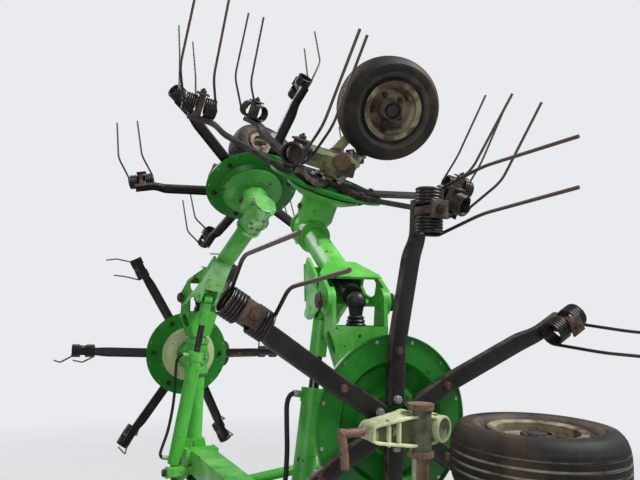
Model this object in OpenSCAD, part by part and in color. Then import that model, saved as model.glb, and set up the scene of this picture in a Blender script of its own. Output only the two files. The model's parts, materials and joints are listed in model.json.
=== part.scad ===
// Six-rotor mounted hay tedder, folded for the road. X runs across the machine,
// +Y points to the hitch and Z is up from the ground. Sizes are in millimetres.

/* [Layout] */
// Distance between neighbouring rotor axes
rotor_gap = 1040; // [1030:5:1060]
// Base hinge, outboard of the centre rotor's axis
hinge_out = 380; // [360:5:400]
// Knee hinge, outboard of the middle rotor's axis
knee_out = 330; // [320:5:345]
// Wing tube's axis, above the rim of the rotors
tube_h = 215; // [210:1:225]
// Fore-and-aft place of the rotor axes
axis_y = -110; // [-120:5:-100]
// How far each middle wing is folded up from level
fold_mid = 90; // [85:1:92]
// How far the left outer wing is folded at its knee
fold_left = 54; // [50:1:58]
// How far the right outer wing is folded at its knee
fold_right = 66; // [62:1:70]
// Slope of the knee pins, which swings the outer wings forward
knee_tilt = 12; // [10:1:14]

/* [Rotors] */
// Radius of a rotor disc
disc_r = 240; // [232:1:250]
// Thickness of the disc sheet
disc_t = 4; // [3:0.5:6]
// Radius of the fixed hood over a disc
hood_r = 155; // [148:1:160]
// Arms on each rotor
arm_count = 6; // [5:1:6]
// Radius at which an arm carries its tine
arm_r = 572; // [560:1:580]
// Width of an arm
arm_w = 52; // [46:1:58]
// Depth of an arm
arm_h = 20; // [18:1:24]
// Wall of an arm's channel
arm_wall = 4; // [3:0.5:5]
// How far an arm's end lies below the rim
arm_drop = 88; // [80:1:95]

/* [Tines] */
// Wire of a tine
wire_d = 9.5; // [8:0.5:10]
// Outer diameter of a tine's coils
coil_d = 76; // [68:1:80]
// Turns in each of the two coils
coil_turns = 5; // [4:1:6]
// Gap between the two coils, where the clamp sits
clamp_w = 26; // [22:1:34]
// Height of a tine's tip over the ground
tip_clear = 14; // [8:1:24]
// How far a leg leans outward
leg_out = 68; // [55:1:75]
// How far a leg trails behind its coil
leg_trail = 60; // [40:1:70]

/* [Wheels] */
// Diameter of a tyre
tyre_d = 405; // [396:1:412]
// Width of a tyre
tyre_w = 160; // [150:1:168]
// Diameter of a rim's flange
rim_d = 230; // [224:1:236]
// Axle below the rotor's rim
wheel_drop = 360; // [350:1:370]
// Axle in front of the rotor's axis on the wings, behind it on the centre rotors
wheel_fwd = 170; // [160:1:180]
// Wheel's middle, inboard of the rotor's axis
wheel_in = 30; // [25:1:36]
// Diameter of a wheel's axle
axle_d = 30; // [26:1:32]

/* [Frame] */
// Diameter of a wing tube
tube_d = 95; // [88:1:100]
// Thickness of lugs and side plates
plate_t = 12; // [10:1:14]
// Diameter of a hinge pin
pin_d = 40; // [34:1:42]
// Length of the knee pins
knee_w = 230; // [220:2:240]
// Length of the base hinge pins
base_w = 200; // [190:2:204]
// Side of the cross beam
beam_s = 120; // [110:1:125]

/* [Cylinders] */
// Diameter of a barrel
barrel_d = 72; // [66:1:76]
// Diameter of a piston rod
rod_d = 34; // [30:1:36]
// Diameter of the cylinder pins
eye_pin_d = 28; // [24:1:30]

/* [Hitch] */
// Span between the shoulders of the lower hitch pins
hitch_span = 825; // [800:5:840]
// Height of the top pin over the lower ones
mast_h = 610; // [590:5:620]
// Diameter of a lower hitch pin
lower_pin_d = 28; // [26:1:30]
// Diameter of the top pin's hole
top_hole_d = 25.7; // [24:0.1:27]
// Lower hitch pins over the ground
hitch_z = 520; // [500:5:560]
// Hitch pins in front of the rotor axes
hitch_y = 800; // [780:5:820]
// Diameter of the parking leg
stand_d = 60; // [54:1:64]
// Diameter of the drive input shaft
input_d = 34.9; // [33:0.1:36]

/* [Hidden] */
$fn = 48;
// running clearance in bearings and between moving faces
fit = 1;
side_gap = 0.4;
tyre_r = tyre_d / 2;
// ground to the rim of a centre rotor, and to the wing tubes' axes when level
rim_z = wheel_drop + tyre_r;
hinge_z = rim_z + tube_h;
// places along a wing, from its own hinge
hinge_x = rotor_gap / 2 + hinge_out;
mid_x = rotor_gap - hinge_out;
knee_x = mid_x + knee_out;
outer_x = rotor_gap - knee_out;
// lever's pin, from the knee pin, in the outer wing's own axes
lever_x = 158;
lever_y = -30;
lever_z = 132;
// cylinder's lower pin, from the base hinge
foot_x = -135;
foot_z = 70;
eye_w = 44;
eye_d = 56;
// room between an eye and the plates beside it
eye_gap = 16;
shaft_d = 50;
neck_z = -52;

// One row per rotor: name, side (-1 left, 1 right), stage, phase of the arms
NAME = 0;
SIDE = 1;
STAGE = 2;
PHASE = 3;
ROTORS = [
    ["centre_left", -1, 0, 59],
    ["centre_right", 1, 0, 29],
    ["mid_left", -1, 1, 31],
    ["mid_right", 1, 1, 1],
    ["outer_left", -1, 2, 59],
    ["outer_right", 1, 2, 29]
];

green = [0.16, 0.52, 0.18];
black = [0.09, 0.09, 0.1];
rust = [0.36, 0.24, 0.17];
cream = [0.62, 0.6, 0.45];
rubber = [0.15, 0.15, 0.15];
steel = [0.7, 0.7, 0.7];

// Bars along X and along Y, from the origin or about it
module bar_x(d, l, center = false) {
    rotate([0, 90, 0]) cylinder(h = l, d = d, center = center);
}
module bar_y(d, l) {
    rotate([90, 0, 0]) cylinder(h = l, d = d, center = true);
}
module ring_y(d, bore, l) {
    rotate([90, 0, 0])
        difference() {
            cylinder(h = l, d = d, center = true);
            cylinder(h = l + 2, d = bore, center = true);
        }
}
// A round bar from point a to point b
module strut(a, b, d) {
    v = b - a;
    translate(a)
        rotate([0, atan2(norm([v[0], v[1]]), v[2]), atan2(v[1], v[0])])
            cylinder(h = norm(v), d = d);
}
// A plate in the XZ plane, its middle at Y = 0, and one in the YZ plane
module plate_xz(points, t) {
    rotate([90, 0, 0])
        linear_extrude(height = t, center = true)
            polygon(points);
}
module plate_yz(points, t) {
    rotate([90, 0, 90])
        linear_extrude(height = t, center = true)
            polygon(points);
}

// Places: each puts its children on a wing, in axes along that wing's tube
module on_side(side) {
    translate([0, axis_y, 0])
        if (side < 0) mirror([1, 0, 0]) children();
        else children();
}
module on_mid(side) {
    on_side(side)
        translate([hinge_x, 0, hinge_z])
            rotate([0, -fold_mid, 0])
                children();
}
module on_outer(side) {
    on_mid(side)
        translate([knee_x, 0, 0])
            rotate(a = side < 0 ? -fold_left : -fold_right,
                   v = [0, cos(knee_tilt), -sin(knee_tilt)])
                children();
}
module on_stage(side, stage) {
    if (stage == 0) on_side(side) translate([0, 0, hinge_z]) children();
    else if (stage == 1) on_mid(side) children();
    else on_outer(side) children();
}
// A rotor's own axes: the rim at Z = 0, X outboard
module at_rotor(row) {
    x = row[STAGE] == 0 ? rotor_gap / 2 : row[STAGE] == 1 ? mid_x : outer_x;
    on_stage(row[SIDE], row[STAGE])
        translate([x, 0, -tube_h])
            children();
}
function turns_left(row) = row[SIDE] * (row[STAGE] == 1 ? -1 : 1) > 0;
// +1 carries the wheel in front of the rotor's axis, -1 behind it
function wheel_side(row) = row[STAGE] == 0 ? -1 : 1;

// Disc: flat flange, turned-down lip, raised pan and bearing sleeve
lip = 7;
pan_r = 150;
pan_z = 22;
hub_r = 84;
sleeve_r = 44;
sleeve_z = 34;
module disc(row) {
    color(green) at_rotor(row)
        rotate_extrude($fn = 96)
            polygon([
                [shaft_d / 2 + side_gap, 0], [hub_r, 0], [hub_r + 6, 2], [hub_r + 20, pan_z],
                [pan_r, pan_z], [pan_r + 16, 0], [disc_r - disc_t, 0],
                [disc_r - disc_t, -lip], [disc_r, -lip], [disc_r, disc_t],
                [pan_r + 18, disc_t], [pan_r + 2, pan_z + disc_t],
                [hub_r + 18, pan_z + disc_t], [hub_r + 2, disc_t],
                [sleeve_r, disc_t], [sleeve_r, sleeve_z], [shaft_d / 2 + side_gap, sleeve_z]
            ]);
}

// Arms: channels that lie flat under the disc, slope down and end in a pad
arm_in = 48;
bend_x = disc_r - 34;
pad = 34;
function arm_line(z) = [
    [arm_in, z], [bend_x, z], [arm_r - pad, z - arm_drop], [arm_r + pad, z - arm_drop]
];
module arm() {
    far = len(arm_line(0)) - 1;
    difference() {
        plate_xz(concat(arm_line(-0.1), [for (i = [far:-1:0]) arm_line(-arm_h)[i]]), arm_w);
        plate_xz(concat(
            arm_line(-arm_wall),
            [for (i = [far:-1:0]) arm_line(-arm_h - 1)[i]]
        ), arm_w - 2 * arm_wall);
    }
}
module arms(row) {
    color(black) at_rotor(row)
        for (i = [0:arm_count - 1])
            rotate([0, 0, row[PHASE] + i * 360 / arm_count])
                arm();
}

// Tine: two coils on one clamp under the arm's pad, and a bent leg from each coil
coil_r = (coil_d - wire_d) / 2;
coil_z = -arm_drop - arm_h - coil_d / 2;
coil_l = coil_turns * wire_d;
tip_z = -rim_z + tip_clear;
elbow = 62;
// close-wound turns as one grooved sleeve
module coil() {
    inner = coil_d / 2 - wire_d;
    outer = coil_d / 2;
    rotate([0, 90, 0])
        rotate_extrude($fn = 64)
            polygon(concat(
                [for (i = [0:coil_turns - 1]) each [
                    [outer - wire_d * 0.3, i * wire_d], [outer, (i + 0.3) * wire_d],
                    [outer, (i + 0.7) * wire_d], [outer - wire_d * 0.3, (i + 1) * wire_d]]],
                [[inner, coil_l], [inner, 0]]
            ));
}
module leg() {
    a = [0, coil_r - 1, 0];
    b = [leg_out * 0.08, coil_r + 4, -elbow];
    c = [leg_out, coil_r + leg_trail, tip_z - coil_z];
    strut(a, b, wire_d);
    translate(b) sphere(d = wire_d + 1.6, $fn = 24);
    strut(b, c, wire_d);
}
module tine(hand) {
    translate([arm_r, 0, coil_z])
        for (s = [-1, 1]) {
            translate([s * (clamp_w + coil_l) / 2 - coil_l / 2, 0, 0]) coil();
            translate([s * (clamp_w / 2 + coil_l - wire_d / 2 - 1), 0, 0])
                scale([1, -hand, 1]) leg();
        }
    translate([arm_r, 0, coil_z + coil_d / 4])
        cube([clamp_w, coil_d - 2 * wire_d - 14, coil_d / 2], center = true);
}
module tines(row) {
    color(rust) at_rotor(row)
        for (i = [0:arm_count - 1])
            rotate([0, 0, row[PHASE] + i * 360 / arm_count])
                tine(turns_left(row) ? 1 : -1);
}

// Wheel: its axle lies along X, its middle at wheel_at; the outer ones trail less
outer_less = 40;
function wheel_at(row) = [
    -wheel_in, wheel_side(row) * (wheel_fwd - (row[STAGE] == 2 ? outer_less : 0)), -wheel_drop
];
groove_w = 6;
groove_d = 7;
module tyre(row) {
    half = tyre_w / 2;
    seat = rim_d / 2 - 14;
    color(rubber) at_rotor(row) translate(wheel_at(row)) rotate([0, 90, 0])
        difference() {
            rotate_extrude($fn = 96)
                polygon([
                    [seat, -half + 22], [rim_d / 2 + 3, -half + 20],
                    [rim_d / 2 + 22, -half + 5], [rim_d / 2 + 48, -half],
                    [tyre_r - 22, -half + 5], [tyre_r - 5, -half + 18], [tyre_r, -half + 34],
                    [tyre_r, half - 34], [tyre_r - 5, half - 18], [tyre_r - 22, half - 5],
                    [rim_d / 2 + 48, half], [rim_d / 2 + 22, half - 5],
                    [rim_d / 2 + 3, half - 20], [seat, half - 22]
                ]);
            for (k = [-2:2])
                translate([0, 0, k * 20])
                    rotate_extrude($fn = 96)
                        translate([tyre_r - groove_d, -groove_w / 2])
                            square([groove_d + 5, groove_w]);
        }
}
module rim(row) {
    half = tyre_w / 2;
    seat = rim_d / 2 - 14;
    wall = 5;
    color(cream) at_rotor(row) translate(wheel_at(row)) rotate([0, 90, 0])
        rotate_extrude($fn = 96)
            polygon([
                [axle_d / 2 + fit, -42], [34, -42], [34, -6], [seat - 24, -6],
                [seat - wall - 12, -half + 46], [seat - wall, -half + 34],
                [seat - wall, -half + 14], [rim_d / 2, -half + 10],
                [rim_d / 2, -half + 15], [seat - side_gap, -half + 21], [seat - side_gap, -half + 38],
                [seat - 9, -half + 50], [seat - 9, half - 50], [seat - side_gap, half - 38],
                [seat - side_gap, half - 21], [rim_d / 2, half - 15], [rim_d / 2, half - 10],
                [seat - wall, half - 14], [seat - wall, half - 34],
                [seat - wall - 9, half - 46], [seat - wall - 12, 0], [34, 0], [34, 46],
                [axle_d / 2 + fit, 46]
            ]);
}

// Leg: fixed shaft through the disc, casting with its cross sleeve, cranked tube and axle.
// It passes the wheel outboard, on the middle rotors inboard
cast_z = neck_z - 62;
arm_off = tyre_w / 2 + 45;
function leg_side(row) = row[STAGE] == 1 ? -1 : 1;
module wheel_leg(row) {
    f = wheel_side(row);
    o = leg_side(row);
    at = wheel_at(row);
    z = cast_z + 4;
    x = at[0] + o * arm_off;
    color(cream) at_rotor(row) {
        translate([0, 0, cast_z + 30]) cylinder(h = tube_h - 96 - cast_z, d = shaft_d - 0.6);
        translate([0, 0, neck_z - 6]) cylinder(h = 20, d = shaft_d + 34);
        difference() {
            union() {
                translate([0, -f * 118, cast_z + 4]) cylinder(h = 54, d = 50);
                translate([0, f * 60, cast_z + 1]) cylinder(h = 60, d = 78);
                translate([0, 0, cast_z + 31])
                    linear_extrude(height = 62, center = true)
                        polygon([
                            [-23, -f * 116], [-42, -f * 20], [-37, f * 62],
                            [37, f * 62], [42, -f * 20], [23, -f * 116]
                        ]);
                // cross sleeve of the leg, with a ring at each end
                translate([0, f * 14, z]) bar_x(58, 124, center = true);
                for (s = [-1, 1])
                    translate([s * 60, f * 14, z]) bar_x(70, 14, center = true);
            }
            // open socket in the end and the lock's bore
            translate([0, f * 66, cast_z + 31]) bar_y(46, 70);
            translate([0, -f * 74, cast_z - 1]) cylinder(h = 64, d = 20);
        }
        // crank for turning the legs, held in the end of the casting
        translate([0, -f * 162, cast_z + 30]) bar_y(22, 86);
        translate([0, -f * 205, cast_z + 30]) sphere(d = 26);
        strut([0, -f * 205, cast_z + 30], [-86, -f * 196, cast_z + 24], 22);
        // leg: stub, elbow and tube to the wheel's side, hub block and axle
        strut([o * 40, f * 14, z], [x, f * 14, z], 44);
        translate([x, f * 14, z]) sphere(d = 52);
        strut([x, f * 14, z], [x, at[1], at[2]], 42);
        translate(at) scale([o, 1, 1]) {
            translate([arm_off, 0, 0]) bar_x(60, 56, center = true);
            translate([-52, 0, 0]) bar_x(axle_d, arm_off + 52);
            translate([-60, 0, 0]) bar_x(axle_d + 16, 10);
        }
    }
}

// Gearbox over a rotor, with the fixed hood under it
box_d = 150;
module gearbox() {
    difference() {
        rotate_extrude($fn = 96)
            polygon([
                [shaft_d / 2, 58], [92, 58], [hood_r - 12, 34], [hood_r - 3, 34],
                [hood_r - 3, 30], [hood_r, 30], [hood_r, 40], [104, 66],
                [box_d / 2, 72], [box_d / 2, tube_h - 65], [62, tube_h - 39],
                [shaft_d / 2, tube_h - 33]
            ]);
        cylinder(h = 59, d = shaft_d);
    }
    translate([0, 0, tube_h - 65]) cylinder(h = 115, d = 118);
    translate([0, 0, tube_h + 50]) cylinder(h = 10, d = 92);
    for (s = [-1, 1])
        translate([s * 82, 0, tube_h]) bar_x(132, 16, center = true);
    translate([0, 0, tube_h]) bar_x(118, 200, center = true);
}

// Lug plate: an eye on a tapered cheek that reaches inboard; bore 0 leaves it closed
module lug(reach, height, d, bore) {
    rotate([90, 0, 0])
        linear_extrude(height = plate_t, center = true)
            difference() {
                union() {
                    circle(d = d);
                    polygon([
                        [d * 0.14, -d * 0.48], [d * 0.14, d * 0.48],
                        [-reach, height / 2], [-reach, -height / 2]
                    ]);
                }
                if (bore > 0) circle(d = bore);
            }
}

// Fork: two lugs and a hollow yoke that narrows from them to a tube along -X. Its pins
// lie along Y at the origin; wide is the lugs' distance from the middle
lug_d = 86;
yoke_h = 104;
yoke_wall = 8;
yoke_mouth = 76;
yoke_neck = 215;
yoke_step = 26;
knee_lug = knee_w / 2 - 20;
base_lug = base_w / 2 - 20;
module yoke_solid(wide, inset) {
    w = wide + plate_t / 2 - inset;
    n = tube_d / 2 + 3 - inset;
    mouth = yoke_mouth - (inset > 0 ? 1 : 0);
    linear_extrude(height = yoke_h - 2 * inset, center = true)
        polygon([
            [-mouth, -w], [-mouth, w], [-yoke_mouth - yoke_step, w],
            [-yoke_neck + inset, n], [-yoke_neck + inset, -n], [-yoke_mouth - yoke_step, -w]
        ]);
}
module fork(wide, bore) {
    for (s = [-1, 1])
        translate([0, s * wide, 0]) lug(yoke_mouth + 8, yoke_h - 4, lug_d, bore);
    difference() {
        yoke_solid(wide, 0);
        yoke_solid(wide, yoke_wall);
        // hand hole to the drive joint, right through
        translate([-yoke_mouth - 52, 0, 0]) rotate([90, 22.5, 0])
            cylinder(h = 2 * wide + plate_t + 2, d = 76, center = true, $fn = 8);
    }
    translate([-yoke_neck - 25, 0, 0]) bar_x(tube_d, 37);
}
// stub pins, from the outer lugs to just inside the inner ones
module stub_pins(w, wide) {
    for (s = [-1, 1])
        translate([0, s * (w / 2 + wide - 1.5 * plate_t - 4) / 2, 0])
            bar_y(pin_d, w / 2 - wide + 1.5 * plate_t + 4);
}
inner_knee = knee_lug - plate_t - side_gap;
inner_base = base_lug - plate_t - side_gap;
module mid_wing(side) {
    color(green) on_mid(side) {
        scale([-1, 1, 1]) fork(inner_base, pin_d + fit);
        translate([yoke_neck, 0, 0]) bar_x(tube_d, mid_x - yoke_neck - 90);
        translate([mid_x, 0, -tube_h]) gearbox();
        translate([knee_x, 0, 0]) rotate([-knee_tilt, 0, 0])
            fork(inner_knee, pin_d + fit);
    }
}
// Black bellows over the drive joints, turned about the drive's axis, with the joint's ball
guard_d = 74;
ball_d = 62;
rib = 11;
module guard(from, to) {
    r = guard_d / 2;
    neck = ball_d / 2 - 11;
    translate([-from, 0, 0]) rotate([0, 90, 0])
        rotate_extrude($fn = 64)
            polygon(concat(
                [[0, 0], [r, 0], [r, from - to - 5 * rib]],
                [for (i = [0:4]) each [
                    [r - i * 2 - 5, from - to - (4.6 - i) * rib],
                    [r - i * 2 - 1, from - to - (4.2 - i) * rib]]],
                [[neck, from - to + 4]],
                [for (a = [130:-10:0]) from * [0, 1] + ball_d / 2 * [sin(a), cos(a)]]
            ));
}
module knee_guard(side) {
    color(black) on_mid(side)
        translate([knee_x, 0, 0]) guard(yoke_neck - 12.3, 48);
}
module base_guard(side) {
    color(black) on_side(side)
        translate([hinge_x, 0, hinge_z]) guard(hinge_out - 100.3, 48);
}
module outer_guard(side) {
    color(black) on_outer(side)
        translate([48, 0, 0]) bar_x(guard_d - 12, yoke_neck - 48 - 12.3);
}
module outer_wing(side) {
    color(green) on_outer(side) {
        rotate([-knee_tilt, 0, 0]) {
            scale([-1, 1, 1]) fork(knee_lug, 0);
            stub_pins(knee_w, knee_lug);
            translate([yoke_neck, 0, 0]) bar_x(tube_d, outer_x - yoke_neck - 90);
        }
        translate([outer_x, 0, -tube_h]) gearbox();
        // lever for the cylinder: two fins and a flange, with the ends of its pin outside
        for (s = [-1, 1])
            translate([0, lever_y + s * (eye_w / 2 + eye_gap + plate_t / 2), 0]) {
                plate_xz([
                    [yoke_neck + 15, 20], [yoke_neck - 8, yoke_h / 2 - 6],
                    [yoke_mouth + 10, yoke_h / 2 - 6], [lever_x - 24, lever_z + 14],
                    [lever_x - 8, lever_z + 25], [lever_x + 10, lever_z + 25],
                    fin_top, fin_end, [fin_end[0], 10]
                ], plate_t);
                translate([lever_x, s * (plate_t / 2 + 4), lever_z]) bar_y(eye_pin_d + 14, 8);
            }
        translate([0, lever_y, 0])
            plate_xz([
                fin_top + 48 * fin_run - 2 * fin_up, fin_top + 48 * fin_run + 5 * fin_up,
                fin_end + 5 * fin_up, fin_end - 2 * fin_up
            ], eye_w + 2 * eye_gap + 2 * plate_t + 6);
    }
}
fin_top = [lever_x + 26, lever_z + 13];
fin_end = [372, tube_d / 2 - 6];
fin_run = (fin_end - fin_top) / norm(fin_end - fin_top);
fin_up = [-fin_run[1], fin_run[0]];

// Cylinder: Z runs from the lower pin to the lever's pin. It leans towards the wing, and
// swings about a foot axis close to the wing's hinge, so that its rod's eye stays in the lever
foot_axis = [0.032, 1, -0.022];
foot_y = -(base_lug + plate_t / 2 + barrel_d / 2 + 20);
barrel_l = 640;
barrel_in = 46;
barrel_end = 60;
rod_in = 200;
function turn_y(p, a) = [p[0] * cos(a) - p[2] * sin(a), p[1], p[0] * sin(a) + p[2] * cos(a)];
function turn_v(p, v, a) = p * cos(a) + cross(v, p) * sin(a) + v * (v * p) * (1 - cos(a));
knee_v = [0, cos(knee_tilt), -sin(knee_tilt)];
foot_at = [hinge_x + foot_x, foot_y, hinge_z + foot_z];
function along(side) =
    turn_y([knee_x, 0, 0]
            + turn_v([lever_x, lever_y, lever_z], knee_v, side < 0 ? -fold_left : -fold_right),
        fold_mid) + [hinge_x, 0, hinge_z] - foot_at;
function span(side) = norm(along(side));
// axes at the foot: Z square to flat and as near to lean as can be, or the other way round
module at_foot(side, flat, lean) {
    w = lean - (flat * lean) * flat / (flat * flat);
    u = cross(flat, w);
    x = u / norm(u);
    y = flat / norm(flat);
    z = w / norm(w);
    on_side(side)
        translate(foot_at)
            multmatrix([[x[0], y[0], z[0], 0], [x[1], y[1], z[1], 0], [x[2], y[2], z[2], 0]])
                children();
}
module on_foot(side) {
    at_foot(side, foot_axis, along(side)) children();
}
module on_cylinder(side) {
    w = along(side) / span(side);
    at_foot(side, foot_axis - (foot_axis * w) * w, w) children();
}
module eye() {
    bar_y(eye_d, eye_w);
}
module barrel(side) {
    color(green) {
        difference() {
            union() {
                on_foot(side) eye();
                on_cylinder(side) {
                    cylinder(h = barrel_in + 4, d = eye_w - 8);
                    translate([0, 0, barrel_in]) cylinder(h = barrel_l - barrel_in, d = barrel_d);
                    translate([0, 0, barrel_l - 46]) cylinder(h = 46, d = barrel_d + 8);
                }
            }
            on_foot(side) bar_y(eye_pin_d + fit, eye_w + 2);
            on_cylinder(side)
                translate([0, 0, barrel_end]) cylinder(h = barrel_l, d = rod_d + 2 * fit);
        }
        on_cylinder(side)
            for (z = [barrel_l - 24, barrel_end + 14])
                translate([0, -barrel_d / 2 - 8, z]) bar_y(22, 24);
    }
}
module rod(side) {
    color(steel) on_cylinder(side)
        difference() {
            union() {
                translate([0, 0, rod_in]) cylinder(h = span(side) - rod_in - 20, d = rod_d);
                translate([0, 0, span(side) - 140]) cylinder(h = 118, d = rod_d + 24);
                translate([0, 0, span(side)]) eye();
            }
            translate([0, 0, span(side)]) bar_y(eye_pin_d + fit, eye_w + 2);
        }
}

// Hose down each barrel, swept along its own points in the cylinder's axes
hose_d = 16;
HOSE = [
    [0, -56.3, 616], [0, -68, 616], [6, -84, 606], [12, -92, 578], [16, -86, 520],
    [15, -72, 430], [12, -64, 320], [10, -66, 210], [6, -78, 136], [2, -84, 98],
    [0, -78, 80], [0, -68, 74], [0, -56.3, 74]
];
function hose_dir(i) =
    let (a = HOSE[max(i - 1, 0)], b = HOSE[min(i + 1, len(HOSE) - 1)]) (b - a) / norm(b - a);
function hose_side(i) =
    let (c = cross([1, 0, 0], hose_dir(i))) c / norm(c);
module hose(side) {
    n = 8;
    m = len(HOSE);
    color(black) on_cylinder(side)
        polyhedron(
            points = [for (i = [0:m - 1], k = [0:n - 1])
                HOSE[i] + hose_d / 2 * (cos(k * 360 / n) * hose_side(i)
                    + sin(k * 360 / n) * cross(hose_dir(i), hose_side(i)))],
            faces = concat(
                [[for (k = [n - 1:-1:0]) k]],
                [for (i = [0:m - 2], k = [0:n - 1]) each [
                    [i * n + k, i * n + (k + 1) % n, (i + 1) * n + k],
                    [i * n + (k + 1) % n, (i + 1) * n + (k + 1) % n, (i + 1) * n + k]]],
                [[for (k = [0:n - 1]) (m - 1) * n + k]]
            ));
}

// Centre: cross beam over the drive, hinge lugs and the cylinders' feet
beam_low = 70;
end_w = 2 * base_lug + plate_t;
foot_plate = 30;
module cross_beam() {
    color(green) {
        on_side(1) translate([0, 0, hinge_z + beam_low + beam_s / 2])
            cube([2 * (hinge_x - 130), beam_s, beam_s], center = true);
        for (side = [-1, 1]) {
            on_side(side) translate([hinge_x, 0, hinge_z]) {
                stub_pins(base_w, base_lug);
                for (s = [-1, 1])
                    translate([0, s * base_lug, 0]) {
                        bar_y(lug_d, plate_t);
                        plate_xz([
                            [-6, -lug_d / 2], [24, lug_d * 0.42], [-110, beam_low + beam_s],
                            [-200, beam_low + beam_s], [-200, beam_low - 10], [-120, 20]
                        ], plate_t);
                    }
                // end box of the beam, and the block that carries the cylinder's foot
                translate([-200, -end_w / 2, beam_low]) cube([78, end_w, beam_s]);
                translate([foot_x - 100, foot_y - eye_w / 2 - plate_t - 8, foot_z + 4])
                    cube([38, -foot_y, 40]);
            }
            on_foot(side) {
                bar_y(eye_pin_d, eye_w + 2 * plate_t + 16);
                for (s = [-1, 1])
                    translate([0, s * (eye_w + plate_t + 2) / 2, 0]) {
                        bar_y(2 * foot_plate, plate_t);
                        plate_xz([
                            [4, foot_plate - 1], [-84, 44], [-84, 4], [4, -foot_plate + 1]
                        ], plate_t);
                    }
            }
        }
    }
}
// Drive: gearboxes over the centre rotors, cross tube, input box and its shaft
module centre_drive() {
    color(green) translate([0, axis_y, 0]) {
        for (s = [-1, 1])
            translate([s * rotor_gap / 2, 0, rim_z]) {
                gearbox();
                translate([0, 0, tube_h + 58]) cylinder(h = beam_low - 58 - 0.3, d = 80);
            }
        translate([0, 0, hinge_z]) {
            bar_x(tube_d, rotor_gap - 180, center = true);
            translate([-100, -95, -95]) cube([200, 190, 95 + beam_low - 0.3]);
            rotate([-90, 0, 0]) cylinder(h = 190, d = 110);
            rotate([-90, 0, 0]) cylinder(h = 280, d = input_d);
        }
    }
}
// Headstock: cross bar with the lower pins, frame up to the top pin, neck and stays
bar_s = 80;
bar_y0 = 60;
stand_x = -140;
stand_y = hitch_y - bar_y0 - bar_s / 2 - stand_d / 2 - 6;
module headstock() {
    top_z = hitch_z + mast_h;
    color(green) translate([0, axis_y, 0]) {
        translate([0, hitch_y - bar_y0, hitch_z + 10])
            cube([hitch_span - 40, bar_s, bar_s], center = true);
        for (s = [-1, 1]) {
            // lower pin on its cheek, with a shoulder
            translate([s * (hitch_span / 2 - 14), hitch_y, hitch_z])
                plate_yz([
                    [-bar_y0 - 30, 48], [-bar_y0 + 40, 46], [22, 34], [40, 12], [40, -14],
                    [22, -36], [-bar_y0 - 30, -26]
                ], 22);
            translate([s * (hitch_span / 2 - 20), hitch_y, hitch_z])
                scale([s, 1, 1]) {
                    bar_x(50, 20);
                    bar_x(lower_pin_d, 132);
                }
            // leg of the frame, then neck tube and stay cut off flush at the beam
            strut([s * 300, hitch_y - bar_y0, hitch_z + 20],
                [s * 34, hitch_y - bar_y0, top_z - 72], 60);
            difference() {
                union() {
                    strut([s * 230, hitch_y - bar_y0, hitch_z + 20],
                        [s * 230, 10, hinge_z + beam_low + 78], 76);
                    strut([s * 22, hitch_y - bar_y0 - 4, top_z - 66],
                        [s * 184, 20, hinge_z + beam_low + 84], 46);
                }
                translate([s * 200 - 130, beam_s / 2 - 160 + 0.3, hinge_z])
                    cube([260, 160, 300]);
            }
            // cheek of the top pin
            translate([s * 36, hitch_y, top_z])
                difference() {
                    plate_yz([
                        [-bar_y0 - 30, -104], [-bar_y0 - 34, -40], [-30, 26], [-6, 38],
                        [20, 34], [36, 12], [34, -18], [8, -44], [-bar_y0 + 34, -104]
                    ], plate_t);
                    bar_x(top_hole_d, plate_t + 2, center = true);
                }
        }
        translate([0, hitch_y - bar_y0, top_z - 68]) bar_x(66, 98, center = true);
        // sleeve of the parking leg
        translate([stand_x, stand_y, hitch_z - 50])
            difference() {
                cylinder(h = 170, d = stand_d + 16);
                translate([0, 0, -1]) cylinder(h = 172, d = stand_d + fit);
            }
    }
}
module parking_leg() {
    color(steel) translate([stand_x, axis_y + stand_y, 0]) {
        cylinder(h = hitch_z + 190, d = stand_d);
        translate([-80, -70, 0]) cube([160, 140, 8]);
    }
}

for (row = ROTORS) {
    disc(row);
    arms(row);
    tines(row);
    tyre(row);
    rim(row);
    wheel_leg(row);
}
mid_wing(-1);  // wing_mid_left
mid_wing(1);  // wing_mid_right
outer_wing(-1);  // wing_outer_left
outer_wing(1);  // wing_outer_right
knee_guard(-1);  // knee_guard_left
knee_guard(1);  // knee_guard_right
base_guard(-1);  // base_guard_left
base_guard(1);  // base_guard_right
outer_guard(-1);  // outer_guard_left
outer_guard(1);  // outer_guard_right
barrel(-1);  // barrel_left
barrel(1);  // barrel_right
rod(-1);  // rod_left
rod(1);  // rod_right
hose(-1);  // hose_left
hose(1);  // hose_right
cross_beam();
centre_drive();
headstock();
parking_leg();
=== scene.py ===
# %% [markdown]
# A six-rotor hay tedder, folded for the road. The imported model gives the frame, wings,
# rotors and wheels. This notebook gives them their paint, rust and rubber, and makes the
# pieces that a drawing leaves plain: wound spring tines, folded arms, ribbed tyres, bolts.

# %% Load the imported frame
import json
import bpy
import numpy as np
from mathutils import Matrix, Vector


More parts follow.
